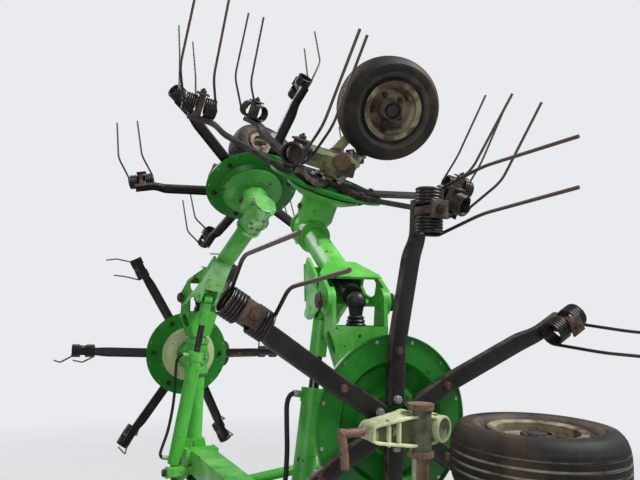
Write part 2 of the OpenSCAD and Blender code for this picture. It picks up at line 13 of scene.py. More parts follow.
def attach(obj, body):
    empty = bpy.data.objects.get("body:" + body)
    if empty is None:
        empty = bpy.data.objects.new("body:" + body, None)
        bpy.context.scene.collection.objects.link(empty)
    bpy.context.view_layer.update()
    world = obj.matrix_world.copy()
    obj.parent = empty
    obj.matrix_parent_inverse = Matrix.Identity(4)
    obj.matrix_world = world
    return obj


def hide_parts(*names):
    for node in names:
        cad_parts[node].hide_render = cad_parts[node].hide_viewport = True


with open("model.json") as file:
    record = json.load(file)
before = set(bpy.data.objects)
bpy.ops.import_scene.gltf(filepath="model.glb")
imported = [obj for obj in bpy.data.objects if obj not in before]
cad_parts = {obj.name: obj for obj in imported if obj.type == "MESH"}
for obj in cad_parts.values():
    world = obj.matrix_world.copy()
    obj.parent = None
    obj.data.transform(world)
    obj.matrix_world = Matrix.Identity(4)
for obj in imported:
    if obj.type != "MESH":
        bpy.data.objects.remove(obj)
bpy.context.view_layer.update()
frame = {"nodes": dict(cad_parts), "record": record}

# %% [markdown]
# Every rotor has its own axes: X points outboard along its wing, Z points up through its
# gearbox, and the rim of its disc lies at Z = 0. The joints already know where these axes
# are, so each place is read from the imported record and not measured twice.

# %% Rotor axes from the joints
JOINT = {j["name"]: j for j in frame["record"]["behaviour"]["joints"]}
ROTORS = ["centre_left", "centre_right", "mid_left", "mid_right", "outer_left", "outer_right"]


def side_of(name):
    """-1 for a piece on the left, +1 on the right."""
    return -1 if name.endswith("left") else 1


def carrier(name):
    """The body that a rotor's gearbox and wheel leg belong to."""
    stage, side = name.split("_")
    return "frame" if stage == "centre" else stage + "_wing_" + side


def rotor_axes(name):
    """Returns a 4 x 4 array: the rotor's X, Y and Z directions and its centre on the rim
    plane. X is the wheel's axle, Z the spin axis, and Y fills the set, so a left rotor is
    a mirror image of a right one."""
    z = np.array(JOINT["spin_" + name]["axis"], float)
    x = np.array(JOINT["roll_" + name]["axis"], float)
    m = np.eye(4)
    m[:3, 0], m[:3, 1], m[:3, 2] = x, np.cross(z, x) * side_of(name), z
    m[:3, 3] = JOINT["spin_" + name]["pos_m"]
    return m


AXES = {name: rotor_axes(name) for name in ROTORS}
print("rotors placed:", len(AXES))

# %% [markdown]
# Each cylinder has axes too: Z runs up its rod and Y lies along its foot's pin. The slide's
# axis gives the first and the swing's axis the second.

# %% Cylinder axes from the joints


def cylinder_axes(side):
    """Z is the slide's direction. Y is the swing's direction with its share along Z taken
    off. X is their cross product, mirrored on the left. The origin is the foot's pin."""
    s = side_of(side)
    z = np.array(JOINT["piston_slide_" + side]["axis"], float)
    z /= np.linalg.norm(z)
    y = np.array(JOINT["cylinder_swing_" + side]["axis"], float)
    y *= np.sign(y[1])
    y -= y @ z * z
    y /= np.linalg.norm(y)
    m = np.eye(4)
    m[:3, 0], m[:3, 1], m[:3, 2] = np.cross(y, z) * s, y, z
    m[:3, 3] = JOINT["cylinder_swing_" + side]["pos_m"]
    return m


CYLINDER = {side: cylinder_axes(side) for side in ("left", "right")}
print("cylinders placed:", len(CYLINDER))

# %% [markdown]
# Colours are written as sRGB hex, the way a paint card gives them. Blender mixes light in
# linear values, so one function turns the hex into linear numbers. A second one adds a
# node with its settings and links, and it makes every node here.

# %% Colours and nodes


def paint(code):
    """sRGB hex to linear RGBA: divide by 12.92 near black, else ((c + 0.055) / 1.055) ^ 2.4."""
    c = np.array([int(code[i:i + 2], 16) for i in (1, 3, 5)]) / 255
    c = np.where(c <= 0.04045, c / 12.92, ((c + 0.055) / 1.055) ** 2.4)
    return (*[float(v) for v in c], 1.0)


def add(tree, kind, out=None, **given):
    """Adds one node and returns the output that out names, or else the first live one. Each
    keyword is a property of the node, or a socket by its name, as From_Min, or by its
    number, as i0. A hex code is painted, a socket is linked, and the rest are values."""
    n = tree.nodes.new("ShaderNode" + kind)
    for k, v in given.items():
        if hasattr(n, k):
            setattr(n, k, v)
            continue
        socket = n.inputs[int(k[1:]) if k[1:].isdigit() else k.replace("_", " ")]
        if isinstance(v, bpy.types.NodeSocket):
            tree.links.new(v, socket)
        else:
            socket.default_value = paint(v) if isinstance(v, str) else v
    return n.outputs[out] if out else next((o for o in n.outputs if o.enabled), None)


print("the frame's green in linear light:", [round(v, 3) for v in paint("#4aa836")[:3]])

# %% [markdown]
# A finish is a stack of layers, as it is on the machine: a coat, chalk on the coat, rust
# through both. A mask says where a layer shows. It is 0 where there is none of it and 1
# where it is whole, and most masks are a pattern cut between two levels. Pictures would be
# heavier and would stretch, so every pattern is noise of a real size in millimetres. The
# grain of paint, rust or rubber is finer than a millimetre and would not show from here, so
# its noise is drawn 4 to 9 mm across.

# %% Masks and layers


def fresh(name):
    """A new material, its empty tree and its Object coordinates."""
    m = bpy.data.materials.new(name)
    m.use_nodes = True
    m.node_tree.nodes.clear()
    return m, m.node_tree, add(m.node_tree, "TexCoord", "Object")


def surface(tree, **given):
    """The shader with its settings and links, wired to the material's output."""
    add(tree, "OutputMaterial", Surface=add(tree, "BsdfPrincipled", **given))


def mask(tree, where):
    """A mask or a number as it is, or one made from (pattern, low, high): 0 where the
    pattern is at low or beyond it, 1 at high or beyond, and a straight line between."""
    if isinstance(where, tuple):
        return add(tree, "MapRange", Value=where[0], From_Min=where[1], From_Max=where[2])
    return where


def overlap(tree, first, *others):
    """Masks or numbers multiplied: the patch that lies in all of them."""
    product = mask(tree, first)
    for other in others:
        product = add(tree, "Math", operation="MULTIPLY", i0=product, i1=mask(tree, other))
    return product


def layers(tree, base, *coats):
    """Coats laid over a base colour, each as (mask, colour)."""
    for where, colour in coats:
        base = add(tree, "Mix", data_type="RGBA", i0=mask(tree, where), i6=base, i7=colour)
    return base


def patches(tree, at, size_mm, low, high, detail=4, rough=0.6):
    """The mask of patches about size_mm across: noise, cut from low to high. At a scale of
    1 the noise has blobs of about 500 mm, so its scale is 500 mm over their size."""
    blobs = add(tree, "TexNoise", Vector=at, Scale=500 / size_mm, Detail=detail,
                Roughness=rough)
    return mask(tree, (blobs, low, high))


def along(tree, at, axes, k):
    """How far a point lies along axis k of a set of axes: its dot product with the
    direction, less that of the origin."""
    d = axes[:3, k]
    dot = add(tree, "VectorMath", "Value", operation="DOT_PRODUCT", i0=at,
              i1=tuple(float(v) for v in d))
    return add(tree, "Math", operation="SUBTRACT", i0=dot, i1=float(axes[:3, 3] @ d))


print("finish helpers ready")

# %% [markdown]
# The frame's finish is a thick alkyd enamel sprayed over welded steel. It is bright where
# the rain washes it, chalky in clouds after years outdoors, and chipped down to brown rust
# where chains and stones hit it. Chips are noise blobs of 13 to 34 mm cut with a hard edge.
# Some parts were painted twice: a mask in the part's own axes tells the two coats apart.
# Where a piece has wear stored on its points, the enamel turns a lighter grey-brown there.
# On the arms these points are the flanges' outer faces, and the lighter colour is partly
# rubbed dust and partly a painted highlight.

# %% Enamel, chipped and chalky


def enamel(name, coat, dark, chalk, chip_low, chip_high, rough, second=None):
    """Enamel in three layers: the coat varies slowly, chalk lies on it in large clouds, and
    rust shows where a product of a coarse and a fine noise passes a threshold. second is a
    function of the tree and coordinates that gives a mask and the colour under it."""
    m, t, at = fresh(name)
    fine = add(t, "TexNoise", Vector=at, Scale=500 / 34, Detail=6, Roughness=0.7)
    grit = add(t, "TexNoise", Vector=at, Scale=500 / 7, Detail=3, Roughness=0.6)
    coarse = add(t, "TexNoise", Vector=at, Scale=500 / 190, Detail=4, Roughness=0.6)
    col = layers(t, dark, (patches(t, at, 420, 0.35, 0.68, 3), coat),
                 (patches(t, at, 150, 0.5, 0.84, 6, 0.65), chalk))
    if second:
        col = layers(t, col, second(t, at))
    drip_at = add(t, "Mapping", Vector=at, Scale=(1.0, 1.0, 0.09))
    drip = overlap(t, patches(t, drip_at, 16, 0.56, 0.78), 0.5)
    wear = add(t, "Attribute", "Fac", attribute_name="wear")
    both = overlap(t, fine, coarse)
    chip = mask(t, (both, chip_low, chip_high))
    rust = layers(t, "#2b1b13", (grit, "#6d3f22"))
    col = layers(t, col, (drip, dark), (overlap(t, wear, (fine, 0.35, 0.75)), "#6b5e52"),
                 ((both, chip_low - 0.035, chip_low), dark), (chip, rust),
                 (patches(t, at, 13, 0.69, 0.71, 2, 0.5), "#241a14"))
    height = add(t, "Math", operation="MULTIPLY_ADD", i0=grit, i1=0.12,
                 i2=overlap(t, chip, -1.0))
    surface(t, Base_Color=col, Specular_IOR_Level=0.35,
            Roughness=add(t, "MapRange", Value=chip, To_Min=rough, To_Max=0.85),
            Normal=add(t, "Bump", Distance=0.0005, Strength=0.6, Height=height))
    return m


GREEN = enamel("green alkyd enamel", "#4aa836", "#287526", "#86c66c", 0.395, 0.415, 0.38)
DISC = enamel("deep green enamel on pressed sheet", "#1c7c1c", "#0f5412", "#38902c",
              0.42, 0.44, 0.36)
BLACK = enamel("black enamel", "#100e0d", "#090808", "#241c17", 0.33, 0.38, 0.46)
print("enamels:", 3)

# %% [markdown]
# Two places wear a second colour. The hoods over the middle rotors were sprayed pale khaki,
# and on the outer wings the cylinder's lever has faded to a light green. The hood is all
# that lies lower than 70 mm on a wing, and the lever all that lies above its tube. A pair of
# heights in metres says where such a coat begins and where it is whole.

# %% Hoods and levers
HOOD_Z, LEVER_Z = (0.071, 0.070), (0.262, 0.275)


def hood(name):
    """Khaki below 70 mm in the rotor's own axes."""
    def second(t, at):
        """The mask of the hood, and its colour."""
        cloud = add(t, "TexNoise", Vector=at, Scale=500 / 60, Detail=4, Roughness=0.6)
        return ((along(t, at, AXES[name], 2), *HOOD_Z),
                layers(t, "#8f9a6a", (cloud, "#a9b083")))
    return second


def lever(name):
    """Faded green above the tube, from 262 mm over the rim."""
    def second(t, at):
        """The mask of the lever where clouds have faded it, and its colour."""
        cloud = overlap(t, patches(t, at, 70, 0.35, 0.55, 5), 0.8)
        return overlap(t, (along(t, at, AXES[name], 2), *LEVER_Z), cloud), "#9fcf93"
    return second


WING = {}
for name in ROTORS[2:]:
    WING[name] = enamel("green enamel on the " + name.replace("_", " ") + " wing", "#50ad3b",
                        "#2c7a28", "#8fca74", 0.385, 0.405, 0.38,
                        hood(name) if name.startswith("mid") else lever(name))
print("wing paints:", len(WING))

# %% [markdown]
# The casting over each wheel leg is iron with a thin pale green paint, gone cream and dusty.
# The crank and the leg's tube were never painted as well, so they are brown. One material
# per leg tells these apart by the rotor's own axes, with pairs of distances as before.

# %% Cast iron, its crank and its tube
PAINT_Z = (-0.122, -0.117)
FACE_BELOW_Z, FACE_ABOVE_Z, FACE_X = (-0.1125, -0.1135), (-0.160, -0.155), (0.0535, 0.0525)
RING_FROM_X, RING_TO_X = (0.0525, 0.0535), (0.072, 0.070)
CRANK_Y = (0.1425, 0.1435)
HUB_Z, HUB_X = (-0.325, -0.330), (0.10, 0.09)


def leg_iron(name):
    """Pale paint above -122 mm and within 143 mm of the spin axis, rust beyond it on the crank
    and on the sleeve's end rings, shade and grease on the lower face and the sleeve between the
    rings, a dusty khaki on the tube below, and grease at the wheel's hub. On the outer legs the
    pale paint is darker and its dark patches spread wider, which is painted shade."""
    m, t, at = fresh("painted iron of the " + name.replace("_", " ") + " leg")
    grit = add(t, "TexNoise", Vector=at, Scale=500 / 6, Detail=4, Roughness=0.7)
    cloud = add(t, "TexNoise", Vector=at, Scale=500 / 44, Detail=6, Roughness=0.7)
    outer, mid = name.startswith("outer"), name.startswith("mid")
    crank_side = 1.0 if name.startswith("centre") else -1.0
    x = add(t, "Math", operation="ABSOLUTE", i0=along(t, at, AXES[name], 0))
    y = overlap(t, along(t, at, AXES[name], 1), crank_side)
    z = along(t, at, AXES[name], 2)
    # On the outer legs the cast's tones are darker and its dark patches spread wider: painted
    # shade.
    outer_painted_shade = 0.12 if outer else 0.0
    shade, light = ("#45442d", "#77744f") if outer else ("#8a9470", "#b9bd94")
    cast = layers(t, shade, ((cloud, 0.42, 0.6), light),
                  (patches(t, at, 17, 0.6 - outer_painted_shade, 0.68 - outer_painted_shade / 2, 5, 0.7), "#3f3526"))
    dust, bare = ("#66573e", "#423021") if mid else ("#8b8163", "#5f4837")
    tube = layers(t, dust, ((cloud, 0.38, 0.58), bare), ((grit, 0.62, 0.75), "#4a3527"))
    rust = layers(t, "#46332a", ((grit, 0.35, 0.7), "#7d5c48"))
    # The lower face and the sleeve between the rings are a dark greenish grey: grease, and
    # painted shade under the casting.
    grease_and_shade = layers(t, "#2a2e1f", ((cloud, 0.4, 0.6), "#525b41"))
    face = overlap(t, (z, *FACE_BELOW_Z), (z, *FACE_ABOVE_Z), (x, *FACE_X))
    rings = overlap(t, (x, *RING_FROM_X), (x, *RING_TO_X), 0.85)
    col = layers(t, tube, ((z, *PAINT_Z), cast), (face, grease_and_shade), (rings, rust),
                 ((y, *CRANK_Y), rust), (overlap(t, (z, *HUB_Z), (x, *HUB_X)), "#241a14"))
    surface(t, Base_Color=col, Roughness=0.7,
            Normal=add(t, "Bump", Distance=0.0006, Strength=0.6, Height=grit))
    return m


LEG = {name: leg_iron(name) for name in ROTORS}
print("leg irons:", len(LEG))

# %% [markdown]
# Spring wire is hard-drawn and was dipped in black paint once. Hay polishes the tips and
# rain rusts the rest, so it is a nearly black metal with a soft sheen and browner tips.

# %% Rusted spring wire
SPRING, t, at = fresh("rusted spring wire")
grain = add(t, "TexNoise", Vector=at, Scale=500 / 9, Detail=5, Roughness=0.7)
wear = add(t, "Attribute", "Fac", attribute_name="wear")
tone = layers(t, "#12100e", (patches(t, at, 60, 0.38, 0.66), "#281c15"),
              ((grain, 0.58, 0.8), "#4c382c"), (overlap(t, wear, 0.55), "#6f5848"))
surface(t, Base_Color=tone, Metallic=0.3, Roughness=0.4,
        Normal=add(t, "Bump", Distance=0.0003, Strength=0.5, Height=grain))
print("wire:", len(t.nodes), "nodes")

# %% [markdown]
# Fasteners are zinc-plated or raw steel that has gone brown, the castings' flanges carry a
# thin pale paint, and the wheels' rims are cream under a crust of dried mud.

# %% Weathered steel and dusty cream


def metal(name, base, stain, metallic, rough, patch=48, low=0.42, high=0.64):
    """A base tone, a stain in clouds of a real size, and a fine grain in the bump."""
    m, t, at = fresh(name)
    grain = add(t, "TexNoise", Vector=at, Scale=500 / 5, Detail=4, Roughness=0.7)
    wear = add(t, "Attribute", "Fac", attribute_name="wear")
    col = layers(t, base, (patches(t, at, patch, low, high, 5), stain),
                 (overlap(t, wear, (grain, 0.2, 0.5)), "#33271f"))
    surface(t, Base_Color=col, Metallic=metallic, Roughness=rough,
            Normal=add(t, "Bump", Distance=0.0002, Strength=0.4, Height=grain))
    return m


RUSTED = metal("rusted steel bolt", "#2e241e", "#574031", 0.2, 0.66, 20)
DARK = metal("oily black bolt", "#1c1917", "#3a2c22", 0.3, 0.5, 20)
# The zinc is lighter than its own grey, as a painted highlight on bolt heads and rivets.
ZINC_WITH_HIGHLIGHT = metal("zinc plate with painted highlight", "#a3a39e", "#5d5142", 0.55, 0.4, 30)
CREAM = metal("cream enamel under dried mud", "#857a60", "#40301f", 0.0, 0.66, 40, 0.4, 0.56)
CAST = metal("pale paint on cast iron", "#979f78", "#c3c69c", 0.0, 0.66, 44)
print("metals:", 5)

# %% [markdown]
# Tyres are carbon-black rubber. Field dust settles in the grooves and on the sidewall, and
# the ribs are wiped clean. The tyre's points say where the grooves are, as their wear.

# %% Rubber and moulded plastic


def rubber(name, base, dust, rough, amount):
    """Nearly black, with dust in clouds, and more of it where the wear is."""
    m, t, at = fresh(name)
    grain = add(t, "TexNoise", Vector=at, Scale=500 / 4, Detail=3, Roughness=0.6)
    wear = add(t, "Attribute", "Fac", attribute_name="wear")
    col = layers(t, base, (overlap(t, patches(t, at, 80, 0.47, 0.66, 5, 0.65), amount), dust),
                 (overlap(t, wear, patches(t, at, 30, 0.25, 0.6, 5, 0.7)), "#aba292"))
    surface(t, Base_Color=col, Roughness=rough, Specular_IOR_Level=0.25,
            Normal=add(t, "Bump", Distance=0.0003, Strength=0.35, Height=grain))
    return m


TYRE = rubber("tyre rubber", "#100f0e", "#463424", 0.66, 0.75)
HOSE = rubber("hydraulic hose rubber", "#151515", "#3c3a37", 0.5, 0.4)
GUARD = rubber("black moulded polyethylene", "#191919", "#4b4741", 0.42, 0.45)
print("rubbers:", 3)

# %% [markdown]
# A cylinder's rod is dark oiled chrome, and the thick sleeve behind its eye was painted with
# the frame. The rod's own points tell where its eye ends, and the sleeve is the last 169 mm.

# %% Rods with painted sleeves
SLEEVE = (0.170, 0.169)


def rod_steel(side):
    """Dark chrome, and enamel from 169 mm below the far end of the rod's eye."""
    rod = frame["nodes"]["rod_" + side]
    co = np.empty(len(rod.data.vertices) * 3)
    rod.data.vertices.foreach_get("co", co)
    end = ((co.reshape(-1, 3) - CYLINDER[side][:3, 3]) @ CYLINDER[side][:3, 2]).max()
    m, t, at = fresh("oiled chrome of the " + side + " rod")
    dull = add(t, "TexNoise", Vector=at, Scale=500 / 30, Detail=5, Roughness=0.6)
    low, high = (float(end) - v for v in SLEEVE)
    up = mask(t, (along(t, at, CYLINDER[side], 2), low, high))
    coat = layers(t, "#2f7f28", ((dull, 0.35, 0.7), "#4fae38"),
                  (patches(t, at, 12, 0.64, 0.67, 3), "#2a1e17"))
    surface(t, Metallic=mask(t, (up, 1.0, 0.0)),
            Roughness=add(t, "MapRange", Value=up, To_Min=0.25, To_Max=0.4),
            Base_Color=layers(t, "#4b4a47", ((dull, 0.4, 0.65), "#2b2623"), (up, coat)))
    return m


ROD = {side: rod_steel(side) for side in ("left", "right")}
print("rods:", len(ROD))

# %% [markdown]
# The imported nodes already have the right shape, so most only get their finish. The first
# word of a node's name says what it is, and legs, wings and rods have one finish each.

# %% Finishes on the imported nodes
FINISH = {"disc": DISC, "arms": BLACK, "tines": SPRING, "tyre": TYRE, "rim": CREAM,
          "knee": GUARD, "base": GUARD, "outer": GUARD, "barrel": GREEN, "hose": HOSE,
          "cross": GREEN, "centre": GREEN, "headstock": GREEN, "parking": ZINC_WITH_HIGHLIGHT}
for node, ob in frame["nodes"].items():
    kind, _, rest = node.partition("_")
    ob.data.materials.clear()
    own = {"leg": LEG, "wing": WING, "rod": ROD}.get(kind)
    ob.data.materials.append(own[rest] if own else FINISH[kind])
print("finished", len(frame["nodes"]), "nodes")

# %% [markdown]
# New surfaces are grids: an array of points with one axis along the shape and one around
# it. One function turns a stack of such grids into a mesh, so hundreds of turns of wire are
# still a single numpy expression. Its signed volume tells whether its faces point outwards.

# %% Grid surfaces


def mesh_from(name, points, faces, material, body, wear=None, crease=35):
    """Makes one object at the origin from points (n, 3) in metres and faces (k, 4). The
    volume is a sixth of the sum of a . (b x c) over the triangles: if it is negative, the
    faces point inwards and are turned round."""
    points = np.asarray(points, float)
    tri = points[np.concatenate([faces[:, [0, 1, 2]], faces[:, [0, 2, 3]]])]
    if np.einsum("ij,ij->", tri[:, 0], np.cross(tri[:, 1], tri[:, 2])) < 0:
        faces = faces[:, ::-1]
    me = bpy.data.meshes.new(name)
    me.vertices.add(len(points))
    me.vertices.foreach_set("co", points.astype(np.float32).ravel())
    me.loops.add(faces.size)
    me.loops.foreach_set("vertex_index", faces.astype(np.int32).ravel())
    me.polygons.add(len(faces))
    me.polygons.foreach_set("loop_start", np.arange(0, faces.size, 4))
    me.update(calc_edges=True)
    me.validate()
    me.polygons.foreach_set("use_smooth", np.ones(len(me.polygons), bool))
    me.set_sharp_from_angle(angle=np.radians(crease))
    if wear is not None:
        me.attributes.new("wear", "FLOAT", "POINT").data.foreach_set(
            "value", np.asarray(wear, np.float32).ravel())
    me.materials.append(material)
    ob = bpy.data.objects.new(name, me)
    bpy.context.scene.collection.objects.link(ob)
    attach(ob, body)
    return ob


def grid_faces(rows, cols, copies, close_rows=False):
    """Quads of copies of a rows x cols grid that closes round its columns, and round its
    rows too where it is a ring."""
    i, j = np.meshgrid(np.arange(rows - (0 if close_rows else 1)), np.arange(cols),
                       indexing="ij")
    k, n = (j + 1) % cols, (i + 1) % rows
    one = np.stack([i * cols + j, i * cols + k, n * cols + k, n * cols + j], -1).reshape(-1, 4)
    return (one[None] + (np.arange(copies) * rows * cols)[:, None, None]).reshape(-1, 4)


print("grids ready")

# %% [markdown]
# A piece is drawn in the axes of the part that carries it and then moved into the world:
# each point is turned by the 3 x 3 part of the axes and shifted by their origin.

# %% Directions and places


def unit(v):
    """Vectors divided by their length."""
    return v / np.linalg.norm(v, axis=-1, keepdims=True)


def place(points, axes):
    """Moves points by a 4 x 4 array."""
    return points @ axes[:3, :3].T + axes[:3, 3]


print("a rotor's centre:", place(np.zeros(3), AXES["mid_right"]).round(3))

# %% [markdown]
# Bolts, rivets, tyres and cups are round, so they are made as on a lathe: a profile of
# distances along an axis and radii round it. One call turns the same profile at many
# places, which a Spin or Screw modifier could only do one by one.

# %% Turned surfaces


def frames(at, out):
    """For places at (k, 3) that face out (k, 3): two directions square to each, and it."""
    out = unit(np.asarray(out, float))
    pick = np.where(np.abs(out[:, :1]) < 0.8, np.array([[1.0, 0, 0]]), np.array([[0, 1.0, 0]]))
    u = unit(np.cross(pick, out))
    return np.asarray(at, float), u, np.cross(out, u), out


def turned(profile, at, out, cols=24, shape=None, closed=False):
    """A surface of revolution at each place. The profile is (rows, 2): the distance along
    out and the radius. shape (rows, cols) multiplies the radius, for a hexagon or a wave."""
    at, u, v, out = frames(at, out)
    a = np.linspace(0, 2 * np.pi, cols, endpoint=False)
    r = profile[:, 1][:, None] * (np.ones(cols) if shape is None else shape)
    z = np.broadcast_to(profile[:, 0][:, None], r.shape)
    p = (at[:, None, None] + (r * np.cos(a))[None, :, :, None] * u[:, None, None]
         + (r * np.sin(a))[None, :, :, None] * v[:, None, None]
         + z[None, :, :, None] * out[:, None, None])
    return p.reshape(-1, 3), grid_faces(len(profile), cols, len(at), closed)


print("lathe ready")

# %% [markdown]
# A hex bolt is one turned surface too. Its head is a circle divided by the cosine of the
# angle from the nearest flat, and the washer under it and the chamfer on it stay round.

# %% Hex bolts


def hex_bolts(name, at, out, flats, height, material, body, washer=1.0, stud=0.0):
    """Bolts at places at, facing out. flats is the width of the hexagon, washer its
    washer's radius as a share of flats, stud how far the thread stands out of a nut."""
    a = np.linspace(0, 2 * np.pi, 24, endpoint=False)
    flat = 1 / np.cos((a + np.pi / 6) % (np.pi / 3) - np.pi / 6)
    h, w = flats / 2, 0.09 * flats
    rows = [(0, 0.02 * h, 0), (0, washer * flats, 0), (w, washer * flats, 0), (w, h, 1),
            (w + 0.85 * height, h, 1), (w + height, 0.96 * h, 0)]
    if stud:
        rows += [(w + height, 0.5 * h, 0), (w + height + stud, 0.48 * h, 0)]
    rows += [(rows[-1][0] + 0.001 * h, 0.02 * h, 0)]
    rows = np.array(rows)
    shape = np.where(rows[:, 2:] > 0, flat, 1.0)
    points, faces = turned(rows[:, :2], at, out, 24, shape)
    return mesh_from(name, points, faces, material, body, crease=25)


print("bolts ready")

# %% [markdown]
# Wire, hoses and rings are a circle swept along a path. The circle must not twist on its
# way, so its side direction is always square to one fixed helper direction. A curve with a
# bevel would also do, but here each ring's points are known, so wear can be stored on them.

# %% Tubes along a path


def around_z(points, angles):
    """Copies of points (n, 3), turned about Z by each angle: shape (copies, n, 3)."""
    c, s = np.cos(angles)[:, None], np.sin(angles)[:, None]
    x, y, z = points[:, 0], points[:, 1], points[:, 2]
    return np.stack([c * x - s * y, s * x + c * y, z + 0 * c], -1)


def tube(path, radius, sides=8, helper=(1.0, 0.013, 0.029)):
    """Sweeps a circle along paths (copies, rows, 3). The tangent is the difference of the
    neighbouring points, the side vector is the tangent crossed with a helper, and the two
    ends are shut by a ring of almost no radius."""
    tan = unit(np.gradient(path, axis=1))
    side = unit(np.cross(tan, np.broadcast_to(np.asarray(helper, float), tan.shape)))
    up = np.cross(tan, side)
    a = np.linspace(0, 2 * np.pi, sides, endpoint=False)
    ring = side[:, :, None] * np.cos(a)[:, None] + up[:, :, None] * np.sin(a)[:, None]
    r = np.broadcast_to(radius, path.shape[1])
    body = path[:, :, None] + ring * r[:, None, None]
    shut = [path[:, e, None, None] + ring[:, e, None] * r[e] * 0.02 for e in (0, -1)]
    p = np.concatenate([shut[0], body, shut[1]], 1)
    return p.reshape(-1, 3), grid_faces(p.shape[1], sides, len(path))


print("tubes ready")

# %% [markdown]
# A tine is one length of 9.5 mm wire: a leg, five turns, across the clamp, five turns back
# and the second leg. The path's angle falls evenly while it moves along the coil. Then the
# leg leans out and back as far as its elbow, and runs almost straight from there to its
# tip. A cylinder would do for a coil from afar, but the gaps between turns catch the light.
# PHASE is the angle of a rotor's first arm, and HAND the side to which its legs trail.

# %% Wound spring tines
WIRE, COIL, TURNS, CLAMP, PITCH = 0.0095, 0.076, 5, 0.026, 1.14
ARM_R, DROP, DEPTH, RIM = 0.572, 0.088, 0.020, 0.5625
LEG_OUT, TRAIL, TIP, ELBOW = 0.068, 0.060, 0.014, 0.118
KNEE_OUT, KNEE_TRAIL, BEND_SHARE, BEND_AFTER = 0.70, 0.74, 0.26, 0.032
PHASE = {"centre_left": 59, "centre_right": 29, "mid_left": 31, "mid_right": 1,
         "outer_left": 59, "outer_right": 29}
HAND = {"centre_left": 1, "centre_right": -1, "mid_left": -1, "mid_right": 1,
        "outer_left": 1, "outer_right": -1}
TURN = {name: np.radians(PHASE[name] + np.arange(6) * 60) for name in ROTORS}
coil_r = (COIL - WIRE) / 2
coil_z = -DROP - DEPTH - COIL / 2


def half_tine(s):
    """One coil and its leg on side s of the clamp, as a path of points. The turns lie a
    seventh of a wire apart. The elbow is a quadratic curve: (1-v)^2 a + 2 v (1-v) knee
    + v^2 b, and it has most of the leg's lean behind it."""
    u = np.linspace(0, 1, TURNS * 16 + 1)
    turn = (1 - u) * TURNS * 2 * np.pi
    x = s * (CLAMP / 2 + WIRE / 2 + u * (TURNS - 1) * WIRE * PITCH)
    wound = np.stack([x, coil_r * np.cos(turn), coil_r * np.sin(turn)], 1)
    end = wound[-1]
    foot = np.array([s * (CLAMP / 2 + WIRE * (TURNS - 0.5)) + LEG_OUT, coil_r + TRAIL,
                     -RIM + TIP - coil_z])
    knee = np.array([end[0] + LEG_OUT * KNEE_OUT, coil_r + TRAIL * KNEE_TRAIL, -ELBOW])
    a, b = knee + (end - knee) * BEND_SHARE, knee + unit(foot - knee) * BEND_AFTER
    v = np.linspace(0, 1, 9)[:, None]
    soft = (1 - v) ** 2 * a + 2 * v * (1 - v) * knee + v ** 2 * b
    w = np.array([0.34, 0.67, 1.0])[:, None]
    return np.concatenate([wound, soft, b + (foot - b) * w])


halves = np.stack([half_tine(-1), half_tine(1)])
rows = halves.shape[1]
for name in ROTORS:
    turn = TURN[name]
    p = (halves * [1, HAND[name], 1] + [ARM_R, 0, coil_z]).reshape(-1, 3)
    paths = around_z(p, turn).reshape(12, rows, 3)
    axis = np.repeat(np.stack([np.cos(turn), np.sin(turn), 0.03 + 0 * turn], 1), 2, 0)[:, None]
    pts, faces = tube(paths, WIRE / 2, 8, axis)
    tip = np.repeat(np.clip(np.linspace(-6, 1, rows + 2), 0, 1), 8)
    ob = mesh_from("wound_tines_" + name, place(pts, AXES[name]), faces, SPRING,
                   "rotor_" + name, np.tile(tip, 12), 60)
    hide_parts("tines_" + name)
print("tine legs:", 6 * 12)

# %% [markdown]
# A rounded block is a sphere whose eight parts are pulled apart: half size less the radius,
# by the sign of the normal, plus the radius times the normal. A cube with a Bevel modifier
# would look the same, but this way all the blocks are one array.

# %% Rounded blocks


def blocks(centres, size, radius, axes=None):
    """Rounded blocks at centres (k, 3), with sides along the rows of axes (k, 3, 3)."""
    lat = (np.arange(8) + 0.5) / 8 * np.pi
    lon = (np.arange(16) + 0.5) / 16 * 2 * np.pi
    n = np.stack([np.sin(lat)[:, None] * np.cos(lon), np.sin(lat)[:, None] * np.sin(lon),
                  np.cos(lat)[:, None] + 0 * lon], -1)
    p = np.sign(n) * (np.asarray(size) / 2 - radius) + radius * n
    poles = [p[e:e + 1] * [0.01, 0.01, 1] for e in (0, 7)]
    p = np.concatenate([poles[0], p, poles[1]]).reshape(-1, 3)
    axes = np.broadcast_to(np.eye(3), (len(centres), 3, 3)) if axes is None else axes
    p = np.asarray(centres)[:, None] + p @ axes
    return p.reshape(-1, 3), grid_faces(10, 16, len(centres))


def joined(*parts):
    """Several (points, faces) pairs as one."""
    start = np.cumsum([0] + [len(p) for p, _ in parts[:-1]])
    return (np.concatenate([p for p, _ in parts]),
            np.concatenate([f + s for (_, f), s in zip(parts, start)]))


print("blocks ready")

# %% [markdown]
# The clamp is a cast block between the two coils, under the arm's end, with a square plate
# below the coils and one bolt through it.

